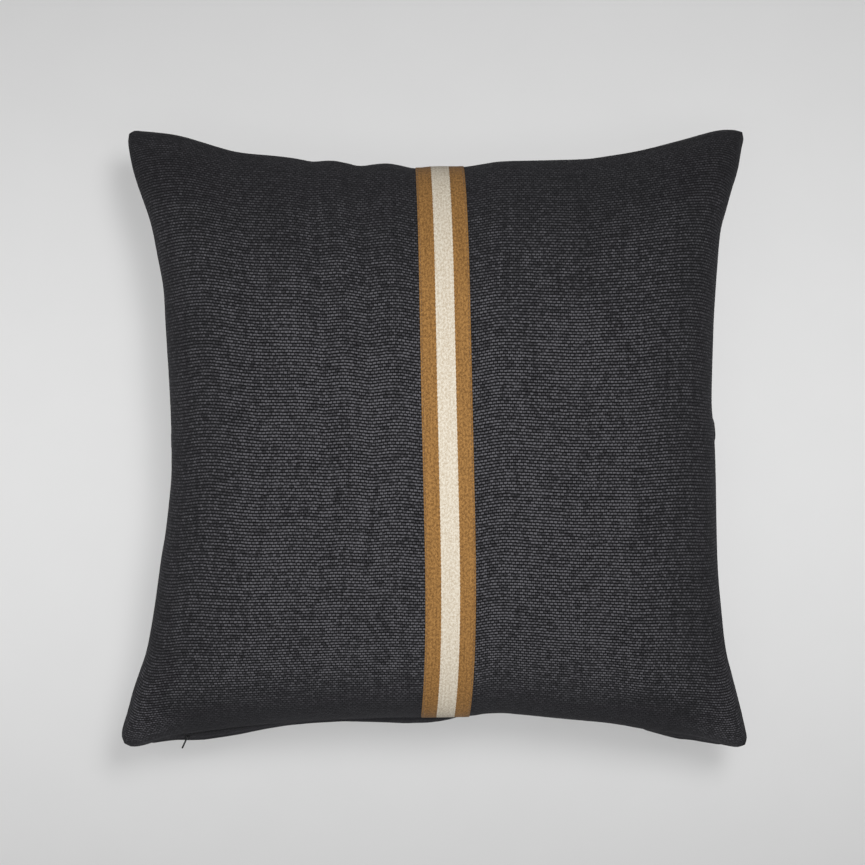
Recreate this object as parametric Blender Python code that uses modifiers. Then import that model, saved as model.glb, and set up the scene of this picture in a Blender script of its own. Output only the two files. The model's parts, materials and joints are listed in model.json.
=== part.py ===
"""A square throw pillow: a zipped cover with a striped band over a filled insert.

The pillow lies on its back. X runs along the zip, Y from the zip to the opposite side, Z up.
The origin is the middle of the flat that it rests on. Lengths are in metres.

Every layer is two domes that meet at a seam. Each side of the seam is a circular arc that bows
inwards. The cloth turns in at the seam as a flange, the seam allowance. Along the bottom side
the two flanges part and leave a channel for a concealed zip.
"""

import math

import bmesh
import bpy
from mathutils import Matrix, Vector

# Cover
COVER_WIDTH = 0.492  # corner to corner along X
COVER_LENGTH = 0.486  # corner to corner along Y
FRONT_HEIGHT = 0.085  # seam to crown
BACK_DEPTH = 0.062  # seam to the flat that the pillow rests on
FLAT_DEPTH = 0.006  # how much of the back dome the flat cuts off
INNER_FLAT_DEPTH = 0.002  # the same for the insert and the fill, whose flats are smaller
DOME_POWER = 0.4  # lower is boxier
# How far the middle of each side lies inside its corners
PULLS = {"left": 0.037, "right": 0.025, "top": 0.030, "bottom": 0.024}
CLOTH = 0.0008
SEAM_ALLOWANCE = 0.015

# Stripe band
BAND_WIDTH = 0.038
BAND_OFFSET = 0.009  # its middle, from the middle of the cover
BAND_PALE_WIDTH = 0.014
BAND_THICKNESS = 0.0006
STITCH_INSET = 0.0015  # from the band's edge
STITCH_WIDTH = 0.0006
STITCH_THICKNESS = 0.0003

# Concealed zip, seen in section: depth is inwards from the seam, height is from the seam's plane
ZIP_END_MARGIN = 0.036  # from the corner to the end of the zip's tape
COIL_DEPTH = 0.0055  # seam to coil
COIL_WIDTH = 0.0020
COIL_HEIGHT = 0.00135
TAPE_WIDTH = 0.008
TAPE_THICKNESS = 0.0005
STOP_LENGTH = 0.0022
STOP_MARGIN = 0.006  # from the end of the tape to the end of the chain
SLIDER_LENGTH = 0.009
SLIDER_WALL = 0.0005
SLIDER_PLATE = 0.0006
NECK_LENGTH = 0.004
NECK_THICKNESS = 0.0008
PARK_GAP = 0.001  # from the closed slider to its top stops

# Pull tab, on a bail outside the seam
PIVOT_OUT = 0.0018  # from the seam outwards to the tab's pivot
PIVOT_RADIUS = 0.00045
BAIL_WIDTH = 0.0042
BAIL_BAR = 0.0006
BAIL_POST = 0.0007
BAIL_THICKNESS = 0.0009
TAB_LENGTH = 0.0072
TAB_WIDTH = 0.0045
TAB_REST_DEG = 22.0  # from straight down, -Y, towards -X

# Insert
INSERT_CLOTH = 0.0004
INSERT_ALLOWANCE = 0.008

# Seams and labels
OVERLOCK_WIDTH = 0.006
OVERLOCK_THICKNESS = 0.0005
OVERLOCK_CORNER = 0.030  # from the corner to the end of the stitches
LABEL_THICKNESS = 0.0002

# Clearances
GAP = 0.0003  # between neighbours that touch
LAYER_GAP = 0.0005  # between the cover, the insert and the fill
EDGE_ROOM = 0.0022  # from one layer's raw edges to the seam of the layer inside it

# Mesh of the domes, and of the parts that follow one side of the seam
LEFT_STEPS = 5  # columns from the zip's left end to the band
RIGHT_STEPS = 4  # columns from the band to the zip's right end
MIDDLE_ROWS = 10
EDGE_ROW = 0.010  # from the corners to the first row
SECOND_ROW = 0.026
ARC_STEPS = 12

# Worked out from the sizes above
HALF_WIDTH = COVER_WIDTH / 2
HALF_LENGTH = COVER_LENGTH / 2
WALL_HEIGHT = GAP / 2 + COIL_HEIGHT + GAP  # seam plane to the inside of the slider's wall
CHANNEL_HEIGHT = WALL_HEIGHT + SLIDER_WALL + GAP  # seam plane to the flange over the zip
LIP_HEIGHT = NECK_THICKNESS / 2 + GAP  # seam plane to the cloth at the mouth
LIP_DEPTH = COIL_DEPTH - GAP - SLIDER_PLATE - GAP  # seam to where the channel is full height
TAPE_DEPTH = COIL_DEPTH + COIL_WIDTH + GAP
TAPE_HALF = HALF_WIDTH - ZIP_END_MARGIN
CHAIN_HALF = TAPE_HALF - STOP_MARGIN
OPEN_HALF = (TAPE_HALF + GAP) * HALF_WIDTH / (HALF_WIDTH - SEAM_ALLOWANCE)
SLIDER_CLOSED = -CHAIN_HALF + STOP_LENGTH + PARK_GAP + SLIDER_LENGTH / 2
OVERLOCK_END = SEAM_ALLOWANCE + GAP + OVERLOCK_THICKNESS  # seam to the inside of its overlock
INSERT_INSET = max(OVERLOCK_END, TAPE_DEPTH + TAPE_WIDTH) + EDGE_ROOM
FILL_INSET = INSERT_INSET + INSERT_ALLOWANCE + GAP + OVERLOCK_THICKNESS + EDGE_ROOM

COLOURS = {
    "charcoal_cloth": ((0.031, 0.030, 0.035), 0.95, 0.0),
    "brown_yarn": ((0.26, 0.13, 0.055), 0.90, 0.0),
    "cream_yarn": ((0.74, 0.66, 0.53), 0.90, 0.0),
    "brown_thread": ((0.20, 0.10, 0.045), 0.80, 0.0),
    "charcoal_thread": ((0.022, 0.022, 0.026), 0.80, 0.0),
    "zip_tape": ((0.022, 0.022, 0.025), 0.85, 0.0),
    "zip_coil": ((0.018, 0.018, 0.021), 0.45, 0.0),
    "zip_metal": ((0.030, 0.030, 0.034), 0.40, 0.9),
    "label_satin": ((0.78, 0.77, 0.74), 0.60, 0.0),
    "casing_cloth": ((0.76, 0.75, 0.72), 0.90, 0.0),
    "casing_thread": ((0.80, 0.79, 0.76), 0.80, 0.0),
    "fibre_fill": ((0.86, 0.85, 0.83), 1.00, 0.0),
}


def is_upright(side):
    return side in ("left", "right")


def corner_insets(inset):
    """How far the corners move in along X and Y when every side moves in by inset.

    Two sides meet in less than a right angle, so their corner moves further than they do. The
    steepest sides decide, which keeps an inner layer clear at every corner.
    """
    upright_pull = max(PULLS["left"], PULLS["right"])
    level_pull = max(PULLS["top"], PULLS["bottom"])
    upright = 2 * math.atan(upright_pull / HALF_LENGTH)  # an arc's slope at its end
    level = 2 * math.atan(level_pull / HALF_WIDTH)
    spread = 1 - math.tan(upright) * math.tan(level)
    across = (math.tan(upright) / math.cos(level) + 1 / math.cos(upright)) / spread
    along = (math.tan(level) / math.cos(upright) + 1 / math.cos(level)) / spread
    return inset * across, inset * along


class Layer:
    """One closed layer of the pillow: its seam and the two domes that rise from it."""

    def __init__(self, inset, height, depth, flat_depth, allowance=0.0, zipped=False):
        across, along = corner_insets(inset)
        self.half_width = HALF_WIDTH - across
        self.half_length = HALF_LENGTH - along
        self.pulls = {
            side: pull + inset - (across if is_upright(side) else along)
            for side, pull in PULLS.items()
        }
        self.height = height
        self.depth = depth
        self.flat_depth = flat_depth
        self.allowance = allowance
        self.zipped = zipped

    def side_line(self, side, depth, along):
        """Distance from the middle to a side's seam, moved in by depth, at a distance along it."""
        radius, centre = self.side_arc(side)
        return centre - math.sqrt((radius + depth) ** 2 - along**2)

    def side_arc(self, side):
        """Radius of a side's arc, and the distance of its centre from the pillow's middle."""
        pull = self.pulls[side]
        half_chord, reach = self.half_width, self.half_length
        if is_upright(side):
            half_chord, reach = reach, half_chord
        radius = (half_chord**2 + pull**2) / (2 * pull)
        return radius, reach - pull + radius

    def outline_point(self, u, v):
        """Place in the seam's plane of a point given by its shares u and v of the way out."""
        y_low = -self.side_line("bottom", 0, u * self.half_width)
        y_high = self.side_line("top", 0, u * self.half_width)
        x_low = -self.side_line("left", 0, v * self.half_length)
        x_high = self.side_line("right", 0, v * self.half_length)
        x = u * (x_high - x_low) / 2 + (x_high + x_low) / 2 * u**2
        y = v * (y_high - y_low) / 2 + (y_high + y_low) / 2 * v**2
        return x, y

    def flange_point(self, u, v, depth):
        """Place in the seam's plane of the flange, at a depth inwards from the seam."""
        x_side = "left" if u < 0 else "right"
        y_side = "bottom" if v < 0 else "top"
        x = u * (self.half_width - depth)
        y = v * (self.half_length - depth)
        if abs(v) == 1:
            y = v * self.side_line(y_side, depth, x)
        if abs(u) == 1:
            x = u * self.side_line(x_side, depth, y)
        return x, y

    def is_open(self, u, v):
        """Whether the flange at this point of the seam clears the zip."""
        return self.zipped and v == -1 and abs(u) * self.half_width <= OPEN_HALF + GAP

    def seam_height(self, u, v, depth=0.0):
        """Height of the flange from the seam's plane."""
        if not self.is_open(u, v):
            return GAP / 2
        return LIP_HEIGHT if depth == 0 else CHANNEL_HEIGHT

    def point(self, u, v, face):
        """A point of the front dome (face 1) or the back dome (face -1)."""
        x, y = self.outline_point(u, v)
        if abs(u) == 1 or abs(v) == 1:
            return Vector((x, y, BACK_DEPTH + face * self.seam_height(u, v)))
        share = ((1 - u * u) * (1 - v * v)) ** DOME_POWER
        rise = self.height * share
        if face < 0:
            rise = min((self.depth + self.flat_depth) * share, self.depth)
        return Vector((x, y, BACK_DEPTH + face * rise))


def evenly(first, last, steps):
    """Values from first to last, both included."""
    return [first + (last - first) * i / steps for i in range(steps + 1)]


def grid_columns():
    """The u of each column of the grid that all layers share, with lines along the band."""
    band_low = (BAND_OFFSET - BAND_WIDTH / 2) / HALF_WIDTH
    band_high = (BAND_OFFSET + BAND_WIDTH / 2) / HALF_WIDTH
    pale_low = (BAND_OFFSET - BAND_PALE_WIDTH / 2) / HALF_WIDTH
    pale_high = (BAND_OFFSET + BAND_PALE_WIDTH / 2) / HALF_WIDTH
    zip_end = OPEN_HALF / HALF_WIDTH
    left = evenly(-zip_end, band_low, LEFT_STEPS)
    right = evenly(band_high, zip_end, RIGHT_STEPS)
    return [-1.0] + left + [pale_low, pale_high] + right + [1.0]


def grid_rows():
    """The v of each row, closer together at the seams, where the domes are steep."""
    first = 1 - EDGE_ROW / HALF_LENGTH
    second = 1 - SECOND_ROW / HALF_LENGTH
    return [-1.0, -first] + evenly(-second, second, MIDDLE_ROWS) + [first, 1.0]


COLUMNS = grid_columns()
ROWS = grid_rows()
BAND_FIRST = 1 + LEFT_STEPS  # the column at the band's left edge
BAND_LAST = BAND_FIRST + 3

COVER = Layer(0.0, FRONT_HEIGHT, BACK_DEPTH, FLAT_DEPTH, SEAM_ALLOWANCE, zipped=True)
INSERT = Layer(
    INSERT_INSET,
    COVER.height - CLOTH - LAYER_GAP,
    COVER.depth - CLOTH - LAYER_GAP,
    INNER_FLAT_DEPTH,
    INSERT_ALLOWANCE,
)
FILL = Layer(
    FILL_INSET,
    INSERT.height - INSERT_CLOTH - LAYER_GAP,
    INSERT.depth - INSERT_CLOTH - LAYER_GAP,
    INNER_FLAT_DEPTH,
)


# Scene


def clear_scene():
    for old in list(bpy.data.objects):
        bpy.data.objects.remove(old)


def new_collection(name):
    collection = bpy.data.collections.new(name)
    bpy.context.scene.collection.children.link(collection)
    return collection


def material(name):
    """The named material, made the first time it is asked for."""
    found = bpy.data.materials.get(name)
    if found:
        return found
    colour, roughness, metallic = COLOURS[name]
    made = bpy.data.materials.new(name)
    made.use_nodes = True
    shader = made.node_tree.nodes["Principled BSDF"]
    shader.inputs["Base Color"].default_value = (*colour, 1.0)
    shader.inputs["Roughness"].default_value = roughness
    shader.inputs["Metallic"].default_value = metallic
    made.diffuse_color = (*colour, 1.0)
    return made


def object_from(bm, name, material_name, collection=None):
    mesh = bpy.data.meshes.new(name)
    bm.to_mesh(mesh)
    bm.free()
    mesh.materials.append(material(material_name))
    made = bpy.data.objects.new(name, mesh)
    (collection or PILLOW).objects.link(made)
    return made


def solidify(obj, thickness, offset):
    shell = obj.modifiers.new("thickness", "SOLIDIFY")
    shell.thickness = thickness
    shell.offset = offset
    shell.use_even_offset = True
    shell.use_quality_normals = True


# Domes and patches on them


def split_outwards(bm, u_layer, v_layer):
    """Splits each four-sided face along the diagonal that points at the pillow's middle."""
    for face in [f for f in bm.faces if len(f.verts) == 4]:
        corners = list(face.verts)
        outwards = [abs(c[u_layer]) + abs(c[v_layer]) for c in corners]
        outermost = outwards.index(max(outwards))
        bmesh.utils.face_split(face, corners[outermost], corners[(outermost + 2) % 4])


def lattice_point(layer, face, column, row):
    """A point of a dome's own grid, where column may lie between two grid lines."""
    low = min(int(column), len(COLUMNS) - 2)
    share = column - low
    start = layer.point(COLUMNS[low], ROWS[row], face)
    end = layer.point(COLUMNS[low + 1], ROWS[row], face)
    return start.lerp(end, share)


def dome_sheet(layer, face, columns, rows):
    """An open sheet on a dome through the given columns and rows, facing out."""
    bm = bmesh.new()
    u_layer = bm.verts.layers.float.new("u")
    v_layer = bm.verts.layers.float.new("v")
    across, along = len(columns) - 1, len(rows) - 1
    bmesh.ops.create_grid(bm, x_segments=across, y_segments=along, size=1.0)
    for vert in bm.verts:
        i = round((vert.co.x + 1) / 2 * across)
        j = round((vert.co.y + 1) / 2 * along)
        low = min(int(columns[i]), len(COLUMNS) - 2)
        share = columns[i] - low
        vert[u_layer] = COLUMNS[low] * (1 - share) + COLUMNS[low + 1] * share
        vert[v_layer] = ROWS[rows[j]]
        vert.co = lattice_point(layer, face, columns[i], rows[j])
    split_outwards(bm, u_layer, v_layer)
    if face < 0:
        bmesh.ops.reverse_faces(bm, faces=bm.faces)
    return bm, u_layer, v_layer


def nearest_line(value, lines):
    """The grid line that a vertex's stored share, rounded to 32 bits, stands for."""
    return min(lines, key=lambda line: abs(line - value))


def turn_in(bm, u_layer, v_layer, layer, face, depths):
    """Extrudes the seam inwards, one row of faces for each depth."""
    rim = [edge for edge in bm.edges if edge.is_boundary]
    for depth in depths:
        made = bmesh.ops.extrude_edge_only(bm, edges=rim)["geom"]
        for vert in (item for item in made if isinstance(item, bmesh.types.BMVert)):
            u = nearest_line(vert[u_layer], COLUMNS)
            v = nearest_line(vert[v_layer], ROWS)
            x, y = layer.flange_point(u, v, depth)
            vert.co = (x, y, BACK_DEPTH + face * layer.seam_height(u, v, depth))
        rim = [item for item in made if isinstance(item, bmesh.types.BMEdge)]
        rim = [edge for edge in rim if edge.is_boundary]


def make_panel(name, layer, face, thickness, depths, material_name):
    """A cloth panel: a dome with its seam allowance turned in, thickened inwards."""
    all_columns = list(range(len(COLUMNS)))
    all_rows = list(range(len(ROWS)))
    bm, u_layer, v_layer = dome_sheet(layer, face, all_columns, all_rows)
    turn_in(bm, u_layer, v_layer, layer, face, depths)
    bmesh.ops.triangulate(bm, faces=bm.faces)
    panel = object_from(bm, name, material_name)
    panel.data.shade_smooth()
    solidify(panel, thickness, -1.0)
    return panel


def make_patch(name, layer, face, columns, rows, start, thickness, material_name):
    """A flat piece that lies along a dome: start is from the dome out to the piece's near side."""
    bm, _, _ = dome_sheet(layer, face, columns, rows)
    patch = object_from(bm, name, material_name)
    solidify(patch, thickness, 1.0 + 2.0 * start / thickness)
    return patch


def make_fill():
    """The fibre fill: both domes, joined at their edge."""
    all_columns = list(range(len(COLUMNS)))
    all_rows = list(range(len(ROWS)))
    bm, _, _ = dome_sheet(FILL, 1, all_columns, all_rows)
    for vert in bm.verts:
        if vert.is_boundary:
            vert.co.z = BACK_DEPTH
    lower, _, _ = dome_sheet(FILL, -1, all_columns, all_rows)
    for vert in lower.verts:
        if vert.is_boundary:
            vert.co.z = BACK_DEPTH
    mesh = bpy.data.meshes.new("lower")
    lower.to_mesh(mesh)
    lower.free()
    bm.from_mesh(mesh)
    bpy.data.meshes.remove(mesh)
    bmesh.ops.remove_doubles(bm, verts=bm.verts, dist=0.00001)
    fill = object_from(bm, "insert_fill", "fibre_fill")
    fill.data.shade_smooth()
    return fill


def make_band():
    """The woven band: one piece, with a pale stripe between two brown ones."""
    columns = list(range(BAND_FIRST, BAND_LAST + 1))
    rows = list(range(len(ROWS)))
    band = make_patch("stripe_band", COVER, 1, columns, rows, GAP, BAND_THICKNESS, "brown_yarn")
    band.data.materials.append(material("cream_yarn"))
    middle = BAND_OFFSET
    for polygon in band.data.polygons:
        if abs(polygon.center.x - middle) < BAND_PALE_WIDTH / 2:
            polygon.material_index = 1
    return band


def make_band_stitches():
    """Two rows of stitches along the band, each shown as one flat thread."""
    edge_column = (BAND_WIDTH - BAND_PALE_WIDTH) / 2  # the width of one brown stripe
    near = STITCH_INSET / edge_column
    far = (STITCH_INSET + STITCH_WIDTH) / edge_column
    rows = list(range(1, len(ROWS) - 1))
    start = GAP + BAND_THICKNESS + GAP
    left = [BAND_FIRST + near, BAND_FIRST + far]
    right = [BAND_LAST - far, BAND_LAST - near]
    for name, columns in (("band_stitch_left", left), ("band_stitch_right", right)):
        make_patch(name, COVER, 1, columns, rows, start, STITCH_THICKNESS, "brown_thread")


def make_labels():
    """A blank label on the inside of the back panel, and one on the insert's back."""
    inside = -(CLOTH + GAP + LABEL_THICKNESS)
    rows = [3, 4]
    make_patch("care_label", COVER, -1, [1, 2], rows, inside, LABEL_THICKNESS, "label_satin")
    last = len(COLUMNS) - 1
    columns = [last - 2, last - 1]
    make_patch("insert_label", INSERT, -1, columns, rows, GAP, LABEL_THICKNESS, "label_satin")


# Parts that follow a side of the seam


SIDE_TURN = {"bottom": 0, "right": math.pi / 2, "top": math.pi, "left": -math.pi / 2}


def side_frame(layer, side):
    """A side's arc radius and its frame: origin at the arc's centre, Y across the seam inwards."""
    radius, centre = layer.side_arc(side)
    turn = Matrix.Rotation(SIDE_TURN[side], 4, "Z")
    middle = turn @ Vector((0, -centre, 0))
    return radius, Matrix.Translation(middle + Vector((0, 0, BACK_DEPTH))) @ turn


def make_arc_strip(name, layer, side, profile, along, thickness, material_name):
    """Turns a profile of (depth, height) points about a side's arc, and thickens it.

    along is the pair of distances from the side's middle where the strip starts and ends.
    """
    radius, frame = side_frame(layer, side)
    start, end = (math.asin(distance / (radius + profile[0][0])) for distance in along)
    bm = bmesh.new()
    verts = [bm.verts.new((0, radius + depth, height)) for depth, height in profile]
    for first, second in zip(verts, verts[1:]):
        bm.edges.new((first, second))
    strip = object_from(bm, name, material_name)
    strip.matrix_world = frame @ Matrix.Rotation(-end, 4, "Z")
    sweep = strip.modifiers.new("sweep", "SCREW")
    sweep.angle = end - start
    sweep.steps = ARC_STEPS
    sweep.render_steps = ARC_STEPS
    solidify(strip, thickness, 0.0)
    return strip


def make_overlock(name, layer, side, cloth, material_name):
    """Overlock thread, folded over the raw edges of a side's two seam allowances."""
    height = GAP / 2 + cloth + GAP + OVERLOCK_THICKNESS / 2
    outer = layer.allowance - OVERLOCK_WIDTH
    inner = layer.allowance + GAP + OVERLOCK_THICKNESS / 2
    profile = [(outer, height), (inner, height), (inner, -height), (outer, -height)]
    reach = (layer.half_length if is_upright(side) else layer.half_width) - OVERLOCK_CORNER
    make_arc_strip(name, layer, side, profile, (-reach, reach), OVERLOCK_THICKNESS, material_name)


def box_mesh(size, centre):
    bm = bmesh.new()
    bmesh.ops.create_cube(bm, size=1.0)
    bmesh.ops.scale(bm, vec=size, verts=bm.verts)
    bmesh.ops.translate(bm, vec=centre, verts=bm.verts)
    return bm


def make_block(name, size, centre, frame, material_name, collection=None):
    block = object_from(box_mesh(size, centre), name, material_name, collection)
    block.matrix_world = frame
    return block


def combine(target, operation, name, size, centre):
    """Joins a block to the target or cuts one from it, both in the target's frame."""
    tool = make_block(name, size, centre, target.matrix_world, "zip_metal", TOOLS)
    tool.hide_render = True
    tool.display_type = "WIRE"
    step = target.modifiers.new(name, "BOOLEAN")
    step.operation = operation
    step.object = tool


def slider_frame(along):
    """The zip's arc radius, and its frame turned to a distance along the seam."""
    radius, frame = side_frame(COVER, "bottom")
    return radius, frame @ Matrix.Rotation(-math.asin(along / radius), 4, "Z")


def make_zip_chain():
    """Both halves of the zip, its tapes and coils, and the stops at its ends."""
    coil_middle = GAP / 2 + COIL_HEIGHT / 2
    tape_middle = CHANNEL_HEIGHT - GAP - TAPE_THICKNESS / 2
    coil_end = CHAIN_HALF - STOP_LENGTH - GAP
    for half, face in (("front", 1), ("back", -1)):
        tape = [(TAPE_DEPTH, face * tape_middle), (TAPE_DEPTH + TAPE_WIDTH, face * tape_middle)]
        coil = [(COIL_DEPTH, face * coil_middle), (COIL_DEPTH + COIL_WIDTH, face * coil_middle)]
        ends = (-TAPE_HALF, TAPE_HALF)
        make_arc_strip(f"zip_tape_{half}", COVER, "bottom", tape, ends, TAPE_THICKNESS, "zip_tape")
        ends = (-coil_end, coil_end)
        make_arc_strip(f"zip_coil_{half}", COVER, "bottom", coil, ends, COIL_HEIGHT, "zip_coil")
        radius, frame = slider_frame(-CHAIN_HALF + STOP_LENGTH / 2)
        centre = (0, radius + COIL_DEPTH + COIL_WIDTH / 2, face * coil_middle)
        size = (STOP_LENGTH, COIL_WIDTH, COIL_HEIGHT)
        make_block(f"zip_top_stop_{half}", size, centre, frame, "zip_metal")
    radius, frame = slider_frame(CHAIN_HALF - STOP_LENGTH / 2)
    centre = (0, radius + COIL_DEPTH + COIL_WIDTH / 2, 0)
    size = (STOP_LENGTH, COIL_WIDTH, 2 * COIL_HEIGHT + GAP)
    make_block("zip_bottom_stop", size, centre, frame, "zip_metal")


def make_slider():
    """The slider: a channel round both coils, a neck through the seam and a bail outside it."""
    radius, frame = slider_frame(SLIDER_CLOSED)
    outer = COIL_DEPTH - GAP - SLIDER_PLATE
    inner = COIL_DEPTH + COIL_WIDTH
    height = 2 * (WALL_HEIGHT + SLIDER_WALL)
    size = (SLIDER_LENGTH, inner - outer, height)
    centre = (0, radius + (outer + inner) / 2, 0)
    slider = make_block("zip_slider", size, centre, frame, "zip_metal")

    room_end = inner + SLIDER_PLATE
    room_start = COIL_DEPTH - GAP
    size = (2 * SLIDER_LENGTH, room_end - room_start, 2 * WALL_HEIGHT)
    centre = (0, radius + (room_start + room_end) / 2, 0)
    combine(slider, "DIFFERENCE", "coil_room", size, centre)

    pivot = -PIVOT_OUT
    eye = PIVOT_RADIUS + GAP  # half the bail's opening
    neck_end = outer + SLIDER_PLATE / 2
    size = (NECK_LENGTH, neck_end - (pivot + eye), NECK_THICKNESS)
    centre = (0, radius + (neck_end + pivot + eye) / 2, 0)
    combine(slider, "UNION", "neck", size, centre)

    bail_outer = pivot - eye - BAIL_BAR
    bail_inner = pivot + eye + BAIL_BAR / 2
    size = (BAIL_WIDTH, bail_inner - bail_outer, BAIL_THICKNESS)
    centre = (0, radius + (bail_inner + bail_outer) / 2, 0)
    combine(slider, "UNION", "bail", size, centre)

    size = (BAIL_WIDTH - 2 * BAIL_POST, 2 * eye, 4 * BAIL_THICKNESS)
    combine(slider, "DIFFERENCE", "bail_eye", size, (0, radius + pivot, 0))
    return slider


def make_pull_tab(slider):
    """The pull tab: a plate with a window that the bail passes through, on a round cross bar."""
    radius, _ = side_frame(COVER, "bottom")
    pivot = slider.matrix_world @ Vector((0, radius - PIVOT_OUT, 0))
    turn = Matrix.Rotation(-math.radians(TAB_REST_DEG), 4, "Z")
    frame = Matrix.Translation(pivot) @ turn
    thickness = 2 * PIVOT_RADIUS
    size = (thickness, TAB_LENGTH, TAB_WIDTH)
    tab = make_block("zip_pull_tab", size, (0, -TAB_LENGTH / 2, 0), frame, "zip_metal")

    bail_reach = math.hypot(BAIL_WIDTH / 2, PIVOT_RADIUS + GAP + BAIL_BAR) + GAP
    size = (4 * thickness, 2 * bail_reach, BAIL_THICKNESS + 2 * GAP)
    combine(tab, "DIFFERENCE", "tab_window", size, (0, 0, 0))

    bm = bmesh.new()
    bmesh.ops.create_cone(
        bm,
        cap_ends=True,
        segments=16,
        radius1=PIVOT_RADIUS,
        radius2=PIVOT_RADIUS,
        depth=TAB_WIDTH,
    )
    bar = object_from(bm, "tab_cross_bar", "zip_metal", TOOLS)
    bar.matrix_world = frame
    bar.hide_render = True
    bar.display_type = "WIRE"
    step = tab.modifiers.new("cross_bar", "BOOLEAN")
    step.operation = "UNION"
    step.object = bar
    return tab


clear_scene()
PILLOW = new_collection("throw_pillow")
TOOLS = new_collection("cutters")

for half, side_of in (("front", 1), ("back", -1)):
    make_panel(
        f"{half}_panel", COVER, side_of, CLOTH, (LIP_DEPTH, SEAM_ALLOWANCE), "charcoal_cloth"
    )
    make_panel(
        f"insert_{half}_panel", INSERT, side_of, INSERT_CLOTH, (INSERT_ALLOWANCE,), "casing_cloth"
    )
make_fill()
make_band()
make_band_stitches()
make_labels()
for seam_side in ("left", "top", "right"):
    make_overlock(f"seam_overlock_{seam_side}", COVER, seam_side, CLOTH, "charcoal_thread")
for seam_side in ("left", "top", "right", "bottom"):
    make_overlock(
        f"insert_overlock_{seam_side}", INSERT, seam_side, INSERT_CLOTH, "casing_thread"
    )
make_zip_chain()
make_pull_tab(make_slider())
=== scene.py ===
"""The looks of a square throw pillow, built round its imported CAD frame.

The pillow lies on its back on a pale floor: X runs along the zip, Y from the zip to the opposite
side, Z up. Lengths are in metres, unless a comment says millimetres.

The cover is two square sheets of cloth, sewn together along a measured outline and blown up by
a cloth simulation. The insert, its fill, the band and the band's stitches follow its surface.
The rest of the zip, the seams' threads and the labels are the frame's own solids.
"""

import json
import math

import bmesh
import bpy
import numpy as np
from mathutils import Matrix, Vector


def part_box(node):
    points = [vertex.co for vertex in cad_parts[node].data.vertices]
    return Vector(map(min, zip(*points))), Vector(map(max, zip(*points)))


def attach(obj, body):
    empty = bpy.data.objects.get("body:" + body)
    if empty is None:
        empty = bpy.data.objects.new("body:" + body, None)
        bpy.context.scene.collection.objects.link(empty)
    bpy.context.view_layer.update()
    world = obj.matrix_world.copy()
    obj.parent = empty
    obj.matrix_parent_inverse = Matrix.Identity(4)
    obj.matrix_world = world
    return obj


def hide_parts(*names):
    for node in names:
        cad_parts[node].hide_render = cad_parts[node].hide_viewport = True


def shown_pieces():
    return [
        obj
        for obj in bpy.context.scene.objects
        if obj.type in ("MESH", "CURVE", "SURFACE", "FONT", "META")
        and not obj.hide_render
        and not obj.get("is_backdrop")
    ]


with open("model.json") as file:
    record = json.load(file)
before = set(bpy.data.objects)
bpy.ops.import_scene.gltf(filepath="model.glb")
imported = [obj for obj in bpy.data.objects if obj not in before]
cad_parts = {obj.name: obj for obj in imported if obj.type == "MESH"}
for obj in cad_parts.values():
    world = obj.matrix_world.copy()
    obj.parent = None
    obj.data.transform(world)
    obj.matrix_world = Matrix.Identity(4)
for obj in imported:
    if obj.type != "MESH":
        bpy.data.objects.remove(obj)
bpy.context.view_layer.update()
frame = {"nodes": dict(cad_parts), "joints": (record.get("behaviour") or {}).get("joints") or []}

MM = 0.001

# Read from the frame
FRONT_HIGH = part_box("front_panel")[1]
SLIDER_LOW, SLIDER_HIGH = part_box("zip_slider")
BAND_LOW, BAND_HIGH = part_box("stripe_band")
JOINTS = {joint["name"]: joint for joint in frame["joints"]}
SEAM_Z = (SLIDER_LOW.z + SLIDER_HIGH.z) / 2
CROWN_Z = FRONT_HIGH.z
BAND_WIDTH = BAND_HIGH.x - BAND_LOW.x

# The cloth of the cover
SHEET_SIDE = 0.508  # each panel, cut square, between its seams
CELLS = 84  # cells along a side of the simulated sheets
CURVE_STEPS = 12  # between two points of an outline
SEAM_STEPS = 10  # of the seam along each cell
SECTION_STEPS = 2000  # across the dome's section, where its cloth is measured
DOME_POWER = 0.4  # of the dome that the sheets start as
DOME_BELOW_FLOOR = 0.006  # how far the starting dome of the back passes the floor
SHEET_GAP = 0.001  # between the two sheets as they are cut
FRAMES = 20  # of simulation
CLOTH_SETTINGS = {
    "quality": 8,
    "mass": 0.25,
    "tension_stiffness": 30,
    "compression_stiffness": 12,
    "shear_stiffness": 3,
    "bending_stiffness": 1.2,
    "air_damping": 2,
    "uniform_pressure_force": 4.0,
}
FLAT_SOFTNESS = 0.004  # how high above the floor the flat of the back rounds into its sides
SEAM_GAP = 0.0002  # seam plane to each panel's fold
MOUTH_GAP = 0.0007  # the same at the zip, whose slider passes between the panels
MOUTH_HALF = 0.214  # middle of the zip to the end of its mouth
MOUTH_CLOSING = 0.008  # past the mouth's end, along which the panels come together
CHANNEL = 0.0029  # seam plane to the panels' allowance over the zip
CHANNEL_PAST_MOUTH = 0.004
FLANGE = ((0.003, 0.0), (0.0048, 1.0), (0.015, 1.0))  # depth, and share of the channel's height
INSERT_INSET = 0.0022  # cover to insert
FILL_INSET = 0.0045  # cover to fill
INSERT_SHARE = 0.925  # of the cover's cloth, from the middle to the insert's seam
FILL_SHARE = 0.88
EDGE_POWER = 8  # how late the sheets inside the cover turn down to their seam

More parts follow.
